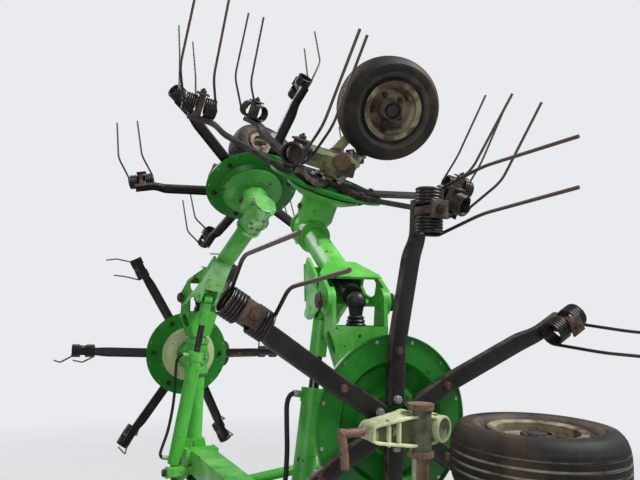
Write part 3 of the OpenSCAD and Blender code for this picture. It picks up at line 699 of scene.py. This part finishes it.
# %% Tine clamps
BLOCK_TOP, BLOCK_LOW, PLATE_T = 0.038, 0.044, 0.0065
for name in ROTORS:
    turn = TURN[name]
    c, s, o = np.cos(turn), np.sin(turn), 0 * turn
    axes = np.stack([np.stack([c, s, o], 1), np.stack([-s, c, o], 1),
                     np.stack([o, o, o + 1], 1)], 1)

    def at(r, z):
        """Six places, at radius r and height z."""
        return np.stack([r * c, r * s, z + o], 1)

    high, low = coil_z + BLOCK_TOP, coil_z - BLOCK_LOW
    pts, faces = joined(
        blocks(at(ARM_R, (high + low) / 2), (0.024, 0.045, high - low), 0.004, axes),
        blocks(at(ARM_R, low - 0.001), (0.050, 0.054, PLATE_T), 0.0025, axes))
    mesh_from("tine_clamps_" + name, place(pts, AXES[name]), faces, RUSTED, "rotor_" + name)
    down = -np.tile(AXES[name][:3, 2], (6, 1))
    hex_bolts("tine_bolts_" + name, place(at(ARM_R, low - 0.0042), AXES[name]), down, 0.022,
              0.010, RUSTED, "rotor_" + name, 0.6, 0.006)
print("tine clamps:", 6 * 6)

# %% [markdown]
# An arm is folded from 4 mm strip into a channel that opens towards the disc. It lies flat
# under the disc, slopes down, and close to its end it steps down once more and narrows to
# the pad. The section is a closed U of fourteen points, carried along a path of bends.

# %% Folded arms
SECTION = np.array([[-1, 0], [-1, -0.78], [-0.93, -0.94], [-0.8, -1], [0.8, -1], [0.93, -0.94],
                    [1, -0.78], [1, 0], [0.85, 0], [0.85, -0.72], [0.75, -0.8], [-0.75, -0.8],
                    [-0.85, -0.72], [-0.85, 0]])
BEND_R = 0.022


def arm_path():
    """Radius, height and half width along the arm, with each bend as a quadratic curve
    that starts and ends BEND_R from its corner: (1-v)^2 p + 2 v (1-v) b + v^2 q."""
    knot = np.array([[0.048, -0.0002, 0.026], [0.206, -0.0002, 0.026], [0.462, -0.061, 0.026],
                     [0.506, -0.0882, 0.0215], [0.606, -0.0882, 0.0205]])
    soft = [knot[:1]]
    for a, b, c in zip(knot[:-2], knot[1:-1], knot[2:]):
        v = np.linspace(0, 1, 6)[:, None]
        p = b + (a - b) * BEND_R / np.linalg.norm(a - b)
        q = b + (c - b) * BEND_R / np.linalg.norm(c - b)
        soft.append((1 - v) ** 2 * p + 2 * v * (1 - v) * b + v ** 2 * q)
    return np.concatenate(soft + [knot[-1:]])


line = arm_path()
tan = unit(np.gradient(line[:, :2], axis=0))
n_rows, n_cols = len(line), len(SECTION)
across = line[:, 2:] * SECTION[:, 0]
deep = DEPTH * SECTION[:, 1]
arm = np.stack([line[:, :1] - tan[:, 1:] * deep, across, line[:, 1:2] + tan[:, :1] * deep], -1)
cap = np.array([[0, 13, 12, 1], [1, 12, 11, 2], [2, 11, 11, 3], [3, 11, 10, 4], [4, 10, 10, 5],
                [5, 10, 9, 6], [6, 9, 8, 7]])
one = np.concatenate([grid_faces(n_rows, n_cols, 1), cap, cap[:, ::-1] + (n_rows - 1) * n_cols])
# The flanges' outer faces get the lighter grey-brown: partly rubbing, partly painted highlight.
rub_and_highlight = np.tile(np.where(np.abs(SECTION[:, 0]) > 0.92, 0.75, 0.1), n_rows)
for name in ROTORS:
    turn = TURN[name]
    pts = around_z(arm.reshape(-1, 3), turn).reshape(-1, 3)
    faces = (one[None] + (np.arange(6) * n_rows * n_cols)[:, None, None]).reshape(-1, 4)
    ob = mesh_from("folded_arms_" + name, place(pts, AXES[name]), faces, BLACK,
                   "rotor_" + name, np.tile(rub_and_highlight, 6), 30)
    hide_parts("arms_" + name)
print("arms:", 36, "points on each:", n_rows * n_cols)

# %% [markdown]
# Two bolts hold each arm to its disc, one near the hub and one near the rim. Below, their
# heads sit on the arm; above, dark nuts sit on the sheet. Between the arms the rim has a
# ring of small rivets, which look bright from far away: their zinc, like all the zinc
# here, is lightened as a painted highlight.

# %% Bolts and rivets on the discs
INNER_R, OUTER_R, NUT_R, RIVET_R = 0.064, 0.196, 0.200, 0.225
ARM_FACE, SHEET_TOP = -0.0202, 0.004
dome = np.array([(-0.0012, 0.0001), (-0.001, 0.0055), (0.0048, 0.0055), (0.0062, 0.004),
                 (0.0066, 0.0001)])
for name in ROTORS:
    turn = TURN[name]
    between = np.radians(PHASE[name] + 15 + np.arange(12) * 30)
    up = np.tile(AXES[name][:3, 2], (6, 1))

    def ring(r, z, a):
        """Places on a circle of radius r at height z, in the world."""
        return place(np.stack([r * np.cos(a), r * np.sin(a), z + 0 * a], 1), AXES[name])

    hex_bolts("arm_bolts_inner_" + name, ring(INNER_R, ARM_FACE, turn), -up, 0.019, 0.009,
              ZINC_WITH_HIGHLIGHT, "rotor_" + name, 0.64)
    hex_bolts("arm_bolts_outer_" + name, ring(OUTER_R, ARM_FACE, turn), -up, 0.018, 0.008,
              RUSTED, "rotor_" + name, 0.64)
    hex_bolts("arm_nuts_" + name, ring(NUT_R, SHEET_TOP, turn), up, 0.022, 0.010, DARK,
              "rotor_" + name, 0.62, 0.005)
    pts, faces = turned(dome, ring(RIVET_R, -0.0006, between), np.tile(up, (2, 1)), 12)
    mesh_from("rim_rivets_" + name, pts, faces, ZINC_WITH_HIGHLIGHT, "rotor_" + name)
print("disc bolts:", 6 * 18, "rivets:", 72)

# %% [markdown]
# Gearboxes are closed with covers. Six bolts hold the top cap, eight hold each flange of
# the wing tube, and a plug on the side fills the oil. They stand on circles worked out by
# angle in the rotor's axes, so one list of places serves all six gearboxes.

# %% Gearbox bolts
CAP_R, CAP_Z = 0.036, 0.275
FLANGE_X, FLANGE_R, FLANGE_Z = 0.09, 0.0565, 0.215
PLUG = np.array([[0, -0.0742, 0.122]])
a6, a8 = np.radians(np.arange(6) * 60 + 30), np.radians(np.arange(8) * 45 + 22.5)
cap_at = np.stack([CAP_R * np.cos(a6), CAP_R * np.sin(a6), CAP_Z + 0 * a6], 1)
for name in ROTORS:
    ax = AXES[name]
    hex_bolts("cap_bolts_" + name, place(cap_at, ax), np.tile(ax[:3, 2], (6, 1)), 0.013, 0.006,
              ZINC_WITH_HIGHLIGHT, carrier(name), 0.7)
    for s, word in ((-1, "inner"), (1, "outer")):
        at_f = np.stack([s * FLANGE_X + 0 * a8, FLANGE_R * np.cos(a8),
                         FLANGE_Z + FLANGE_R * np.sin(a8)], 1)
        hex_bolts("flange_bolts_" + word + "_" + name, place(at_f, ax),
                  np.tile(s * ax[:3, 0], (8, 1)), 0.0125, 0.0065, ZINC_WITH_HIGHLIGHT, carrier(name), 0.62)
    hex_bolts("oil_plug_" + name, place(PLUG, ax), -ax[None, :3, 1], 0.019, 0.008, RUSTED,
              carrier(name))
print("gearbox bolts:", 6 * 23)

# %% [markdown]
# The casting's lower side is open between its flanges: a wall follows its outline, two webs
# cross it beside the lock's bore, and its round end is the mouth of a socket. The wall is a
# section of six points, carried round the outline's points after each of these is averaged
# with its two neighbours on both sides, which rounds the corners.

# %% Flanges, webs and socket mouths of the castings
OUTLINE = np.array([[-0.0225, -0.141], [-0.040, -0.020], [-0.0355, 0.060], [0.0355, 0.060],
                    [0.040, -0.020], [0.0225, -0.141]])
WALL_TOP, WALL_DROP, WALL_T = -0.110, 0.0185, 0.0070
WALL_SECTION = np.array([(0.0, 0.0), (0.0, 1.0), (0.12, 1.06), (0.88, 1.06), (1.0, 1.0),
                         (1.0, 0.0)])
MOUTH_Y, MOUTH_Z, LEAN_Y, LEAN_Z, MOUTH_COLS = 0.070, -0.106, 0.36, 0.93, 36
share = np.linspace(0, 1, 12, endpoint=False)[:, None]
edge = (OUTLINE[:, None] + share * (np.roll(OUTLINE, -1, 0) - OUTLINE)[:, None]).reshape(-1, 2)
smooth = np.stack([np.roll(edge, k, 0) for k in (-2, -1, 0, 1, 2)]).mean(0)
ahead = unit(np.roll(smooth, -1, 0) - np.roll(smooth, 1, 0))
inward = np.stack([ahead[:, 1], -ahead[:, 0]], 1)
inward = inward * -np.sign((inward * (smooth - smooth.mean(0))).sum(1))[:, None]
flange = np.stack([np.concatenate([smooth + inward * WALL_T * u,
                                   np.full((len(smooth), 1), WALL_TOP - WALL_DROP * v)], 1)
                   for u, v in WALL_SECTION], 1).reshape(-1, 3)
flange_faces = grid_faces(len(smooth), len(WALL_SECTION), 1, close_rows=True)
collar = np.array([(-0.010, 0.0330), (0.019, 0.0350), (0.0225, 0.0345), (0.0235, 0.0325),
                   (0.0230, 0.0275), (0.010, 0.0265), (-0.004, 0.0260), (-0.004, 0.0010),
                   (-0.010, 0.0010)])
# The inside of each socket's mouth is darker.
darker_inside = np.repeat([0, 0, 0, 0, 0.6, 1, 1, 1, 1], MOUTH_COLS)
webs = blocks([[0, -0.060, WALL_TOP - 0.009], [0, -0.090, WALL_TOP - 0.008]],
              (0.068, 0.0075, 0.018), 0.003)
for name in ROTORS:
    f = -1 if name.startswith("centre") else 1
    ax = AXES[name]
    pts, faces = joined((flange, flange_faces), webs)
    mesh_from("cast_flange_" + name, place(pts * [1, f, 1], ax), faces, CAST, carrier(name))
    lean = unit(f * LEAN_Y * ax[:3, 1] - LEAN_Z * ax[:3, 2])
    mouth = place(np.array([[0, f * MOUTH_Y, MOUTH_Z]]), ax)
    pts, faces = turned(collar, mouth, [lean], MOUTH_COLS, closed=True)
    mesh_from("socket_mouth_" + name, pts, faces, CAST, carrier(name), darker_inside)
print("socket mouths:", 6)

# %% [markdown]
# The tyre is a ribbed implement tyre. Its outline is a superellipse, (x / 80)^2.6 plus
# (y / 42)^2.6 equals 1, so the crown is flat and the sidewall round. Five grooves cut the
# crown into six ribs, and two fine rings stand on each sidewall: each is a bell curve,
# e^-(d / w)^2 of the distance d from its radius.

# %% Ribbed tyres
HALF, MID_R, CROWN, POWER, GROOVE = 0.0795, 0.160, 0.0425, 2.6, 0.0065
TYRE_COLS = 112


def tyre_profile():
    """Half the outline from the crown's middle to the bead, mirrored, and closed by the
    inner wall: (x, r) rows, with the wear that goes with each."""
    groove = np.array([[0, 1], [0.0026, 1], [0.0036, 0], [0.0164, 0], [0.0174, 1], [0.0226, 1],
                       [0.0236, 0], [0.0364, 0], [0.0374, 1], [0.0426, 1], [0.0436, 0],
                       [0.0500, 0]])
    x = groove[:, 0]
    r = MID_R + CROWN * (1 - (x / HALF) ** POWER) ** (1 / POWER) - GROOVE * groove[:, 1]
    y = np.clip(np.linspace(0.52, -0.60, 20) * 1.9, -0.87, 0.93)
    sx = HALF * (1 - np.abs(y) ** POWER) ** (1 / POWER)
    sr = MID_R + CROWN * y
    rib = 0.0012 * (np.exp(-((sr - 0.178) / 0.0012) ** 2) + np.exp(-((sr - 0.136) / 0.0015) ** 2))
    side = np.stack([sx + rib, sr], 1)
    bead = np.array([[0.0585, 0.119], [0.0555, 0.1155], [0.0535, 0.108], [0.0545, 0.1015]])
    half = np.concatenate([np.stack([x, r], 1), side, bead])
    wear = np.concatenate([groove[:, 1] * 0.9, 0.02 + 0.10 * (sr < 0.145), [0.3, 0.2, 0, 0]])
    inner = np.array([[-0.050, 0.104], [-0.064, 0.13], [-0.066, 0.165], [-0.05, 0.188],
                      [0.05, 0.188], [0.066, 0.165], [0.064, 0.13], [0.050, 0.104]])
    whole = np.concatenate([half[:0:-1] * [-1, 1], half, inner[::-1]])
    return whole, np.concatenate([wear[:0:-1], wear, np.zeros(8)])


profile, dust = tyre_profile()
for name in ROTORS:
    hub, axle = np.array([JOINT["roll_" + name]["pos_m"]]), AXES[name][None, :3, 0]
    pts, faces = turned(profile, hub, axle, TYRE_COLS, closed=True)
    ob = mesh_from("ribbed_tyre_" + name, pts, faces, TYRE, "wheel_" + name,
                   np.repeat(dust, TYRE_COLS), 28)
    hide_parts("tyre_" + name)
print("tyre points:", len(profile) * TYRE_COLS)

# %% [markdown]
# The wheel's disc is welded into the rim. Five nuts hold it, a cup that once had a dust cap
# stands round the axle's end, and a valve leans out through the disc. They are on the side
# away from the leg. The cup darkens towards its open end, and its inside and a dark ring
# within it are painted shade of the hub's hole.

# %% Wheel nuts, cup and valve
NUT_CIRCLE, VALVE_R, CUP_COLS = 0.058, 0.074, 40
cup = np.array([(0.004, 0.0345), (0.006, 0.046), (0.012, 0.0405), (0.060, 0.0395),
                (0.064, 0.038), (0.064, 0.034), (0.058, 0.033), (0.050, 0.0325),
                (0.047, 0.0345)])
# The cup's inside is darkened as painted shade, and its outside darkens towards the open end.
cup_darkening_and_shade = np.repeat([0, 0.2, 0.4, 0.7, 1, 1, 1, 1, 1], CUP_COLS)
pit = np.array([(0.046, 0.0340), (0.0485, 0.0335), (0.0485, 0.0245), (0.046, 0.0240)])
stem = np.array([(0, 0.0002), (0, 0.006), (0.012, 0.0055), (0.016, 0.0035), (0.026, 0.0035),
                 (0.027, 0.0048), (0.036, 0.0045), (0.037, 0.0002)])
a = np.radians(np.arange(5) * 72 + 18)
for name in ROTORS:
    ax = AXES[name]
    hub = np.array(JOINT["roll_" + name]["pos_m"])
    out = ax[:3, 0] * (1 if name.startswith("mid") else -1)
    u, v = ax[:3, 1], ax[:3, 2]
    face = hub + out * (0.0 if name.startswith("mid") else 0.006)
    nuts = face + NUT_CIRCLE * (np.cos(a)[:, None] * u + np.sin(a)[:, None] * v)
    hex_bolts("wheel_nuts_" + name, nuts, np.tile(out, (5, 1)), 0.019, 0.011, RUSTED,
              "wheel_" + name, 0.62, 0.006)
    pts, faces = turned(cup, [face - out * 0.004], [out], CUP_COLS, closed=True)
    mesh_from("hub_cup_" + name, pts, faces, CREAM, "wheel_" + name, cup_darkening_and_shade)
    # A dark ring inside the cup: painted shade of the hub's hole.
    pts, faces = turned(pit, [hub], [out], CUP_COLS, closed=True)
    mesh_from("hub_shade_ring_" + name, pts, faces, DARK, "wheel_" + name)
    pts, faces = turned(stem, [face + VALVE_R * v], [unit(out + 0.35 * v)], 12)
    mesh_from("valve_" + name, pts, faces, HOSE, "wheel_" + name)
print("wheel nuts:", 30)

# %% [markdown]
# A hydraulic hose runs down each barrel from the rod end's port. It is one smooth curve
# through the route's points, here a Catmull-Rom curve: each piece blends four neighbouring
# points with cubic weights. A crimped steel ferrule holds it at both ends.

# %% Hoses and their ferrules
ROUTE = np.array([[0, -56.3, 616], [0, -68, 616], [6, -84, 606], [12, -92, 578], [16, -86, 520],
                  [15, -72, 430], [12, -64, 320], [10, -66, 210], [6, -78, 136], [2, -84, 98],
                  [0, -78, 80], [0, -68, 74], [0, -56.3, 74]]) / 1000


def through(points, steps=8):
    """Catmull-Rom: 0.5 (2b + (c-a)t + (2a-5b+4c-d)t^2 + (3b-a-3c+d)t^3) for each piece."""
    p = np.concatenate([2 * points[:1] - points[1:2], points, 2 * points[-1:] - points[-2:-1]])
    a, b, c, d = (p[k:len(p) - 3 + k][:, None] for k in range(4))
    t = np.linspace(0, 1, steps, endpoint=False)[None, :, None]
    q = 0.5 * (2 * b + (c - a) * t + (2 * a - 5 * b + 4 * c - d) * t ** 2
               + (3 * b - a - 3 * c + d) * t ** 3)
    return np.concatenate([q.reshape(-1, 3), points[-1:]])


crimp = np.array([(0, 0.0085), (0, 0.0105), (0.004, 0.0112), (0.006, 0.0102),
                  (0.009, 0.0112), (0.012, 0.0102), (0.014, 0.0106), (0.015, 0.0086)])
for side in ("left", "right"):
    route = place(through(ROUTE), CYLINDER[side])
    y = CYLINDER[side][:3, 1]
    pts, faces = tube(route[None], 0.008, 12, CYLINDER[side][:3, 0] + [0.01, 0.02, 0.01])
    ob = mesh_from("pressure_hose_" + side, pts, faces, HOSE, "cylinder_" + side, crease=60)
    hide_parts("hose_" + side)
    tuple(route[0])
    pts, faces = turned(crimp, route[[0, -1]], np.stack([-y, -y]), 20, closed=True)
    mesh_from("hose_ferrules_" + side, pts, faces, ZINC_WITH_HIGHLIGHT, "cylinder_" + side)

# %% [markdown]
# Big pins are kept in by a nut and washer at each end, so that they can be driven out. The
# joint's own place and axis put each pair of nuts on its pin.

# %% Nuts on the hinge pins
for side in ("left", "right"):
    for joint, half, flats, body in (("fold_", 0.100, 0.046, "frame"),
                                     ("knee_", 0.115, 0.046, "outer_wing_" + side),
                                     ("cylinder_swing_", 0.042, 0.034, "frame")):
        j = JOINT[joint + side]
        at_p, d = np.array(j["pos_m"]), unit(np.array(j["axis"]))
        hex_bolts(joint + "nuts_" + side, np.stack([at_p - d * half, at_p + d * half]),
                  np.stack([-d, d]), flats, 0.009, RUSTED, body, 0.62)
print("pin nuts:", 12)

# %% [markdown]
# A ring of black plastic shields the input shaft, because a bare one catches clothes. It is
# a thin cone with a rolled edge, screwed to the input box: one closed profile, turned.

# %% Shield round the input shaft
mount = {m["name"]: m for m in frame["record"]["mounts"]}
drive = np.array(mount["drive_input"]["pos_m"]) - [0, 0.045, 0]
cone = np.array([(0.001, 0.058), (0.001, 0.082), (0.005, 0.084), (0.012, 0.076), (0.08, 0.088),
                 (0.086, 0.091), (0.088, 0.088), (0.084, 0.085), (0.014, 0.073), (0.006, 0.068),
                 (0.005, 0.058)])
pts, faces = turned(cone, [drive], [(0, 1, 0)], 64, closed=True)
mesh_from("input_shield", pts, faces, GUARD, "frame")
print("shield at", drive.round(3))

# %% [markdown]
# Linch pins lock the hitch: a short peg through the pin's end, and a sprung wire ring that
# snaps over it. Both are round bar, one straight and one bent, so both are tubes.

# %% Linch pins
for side in ("left", "right"):
    d = np.array(mount["lower_pin_" + side]["axis"], float)
    end = np.array(mount["lower_pin_" + side]["pos_m"]) + d * 0.040
    a = np.linspace(0, 2 * np.pi, 40)
    loop = end + np.stack([0 * a, 0.026 * np.sin(a), 0.026 * np.cos(a) - 0.001], 1)
    peg = end + np.array([0, 0, 1]) * np.linspace(-0.024, 0.03, 6)[:, None]
    pts, faces = joined(tube(loop[None], 0.0022, 8), tube(peg[None], 0.0045, 10))
    mesh_from("linch_pin_" + side, pts, faces, ZINC_WITH_HIGHLIGHT, "frame")
print("linch pins:", 2)

# %% [markdown]
# The photograph was taken from beside the right wing at eye height, looking up a little
# and slightly off level. The lens is set from the picture's own vanishing points.

# %% Camera
EYE, LENS_PX, WIDTH_PX = (2.580, -1.075, 1.764), 616, 640
yaw, pitch, roll = np.radians([26.4, 5.7, 1.4])
forward = np.array([-np.cos(yaw) * np.cos(pitch), np.sin(yaw) * np.cos(pitch), np.sin(pitch)])
right = unit(np.cross(forward, [0, 0, 1]))
up = np.cross(right, forward)
r = np.cos(roll) * right + np.sin(roll) * up
u = np.cross(r, forward)
cam = bpy.data.objects.new("camera", bpy.data.cameras.new("camera"))
bpy.context.scene.collection.objects.link(cam)
cam.data.sensor_width = 36
cam.data.lens = 36 * LENS_PX / WIDTH_PX
turn = np.stack([r, u, -forward], 1).tolist()
cam.matrix_world = Matrix([[*v, w] for v, w in zip(turn, EYE)] + [[0, 0, 0, 1]])
cam.data.clip_start, cam.data.clip_end = 0.05, 100
bpy.context.scene.camera = cam
print("lens:", round(cam.data.lens, 2), "mm")

# %% [markdown]
# A plain pale floor and a large soft sky light show the shapes without colouring them. Far
# from the machine the floor shows the camera the background's own colour, so no hard line
# crosses the picture, and near it the floor keeps the shadow.

# %% Floor and light
BACKGROUND, FADE_M = "#e9ebee", (2.2, 7.0)
floor = bpy.data.objects.new("floor", bpy.data.meshes.new("floor"))
floor.data.from_pydata([(-30, -30, 0), (30, -30, 0), (30, 30, 0), (-30, 30, 0)], [],
                       [(0, 1, 2, 3)])
bpy.context.scene.collection.objects.link(floor)
pale, t, at = fresh("pale floor")
cloud = add(t, "TexNoise", Vector=at, Scale=500 / 900, Detail=3, Roughness=0.6)
matt = add(t, "BsdfPrincipled", Base_Color=layers(t, "#bfbebb", (cloud, "#c5c4c1")),
           Roughness=0.9)
gap = add(t, "VectorMath", "Value", operation="LENGTH", i0=at)
seen = overlap(t, add(t, "LightPath", "Is Camera Ray"), (gap, *FADE_M))
glow = add(t, "Emission", Color=BACKGROUND, Strength=1.0)
add(t, "OutputMaterial", Surface=add(t, "MixShader", i0=seen, i1=matt, i2=glow))
floor.data.materials.append(pale)

world = bpy.data.worlds.new("soft light")
world.use_nodes = True
bpy.context.scene.world = world
sky = world.node_tree
sky.nodes.clear()
lit = add(sky, "Background", Color="#dbe6f5", Strength=0.42)
back = add(sky, "Background", Color=BACKGROUND, Strength=1.0)
ray = add(sky, "LightPath", "Is Camera Ray")
add(sky, "OutputWorld", Surface=add(sky, "MixShader", i0=ray, i1=lit, i2=back))


def lamp(name, at, aim, size, power):
    """A square soft lamp at a point, aimed at another."""
    light = bpy.data.lights.new(name, "AREA")
    light.size, light.energy = size, power
    ob = bpy.data.objects.new(name, light)
    bpy.context.scene.collection.objects.link(ob)
    ob.location = at
    ob.rotation_euler = (Vector(aim) - Vector(at)).to_track_quat("-Z", "Y").to_euler()


lamp("key", (3.2, 3.6, 7.6), (0, 0, 1.4), 1.6, 900)
lamp("fill", (6.0, -5.0, 3.5), (0, 0, 1.5), 4.0, 190)
lamp("rim", (-5.0, -2.0, 6.0), (0, 0, 1.8), 3.0, 240)
bpy.context.scene.view_settings.view_transform = "Standard"
print("lamps:", len(bpy.data.lights))
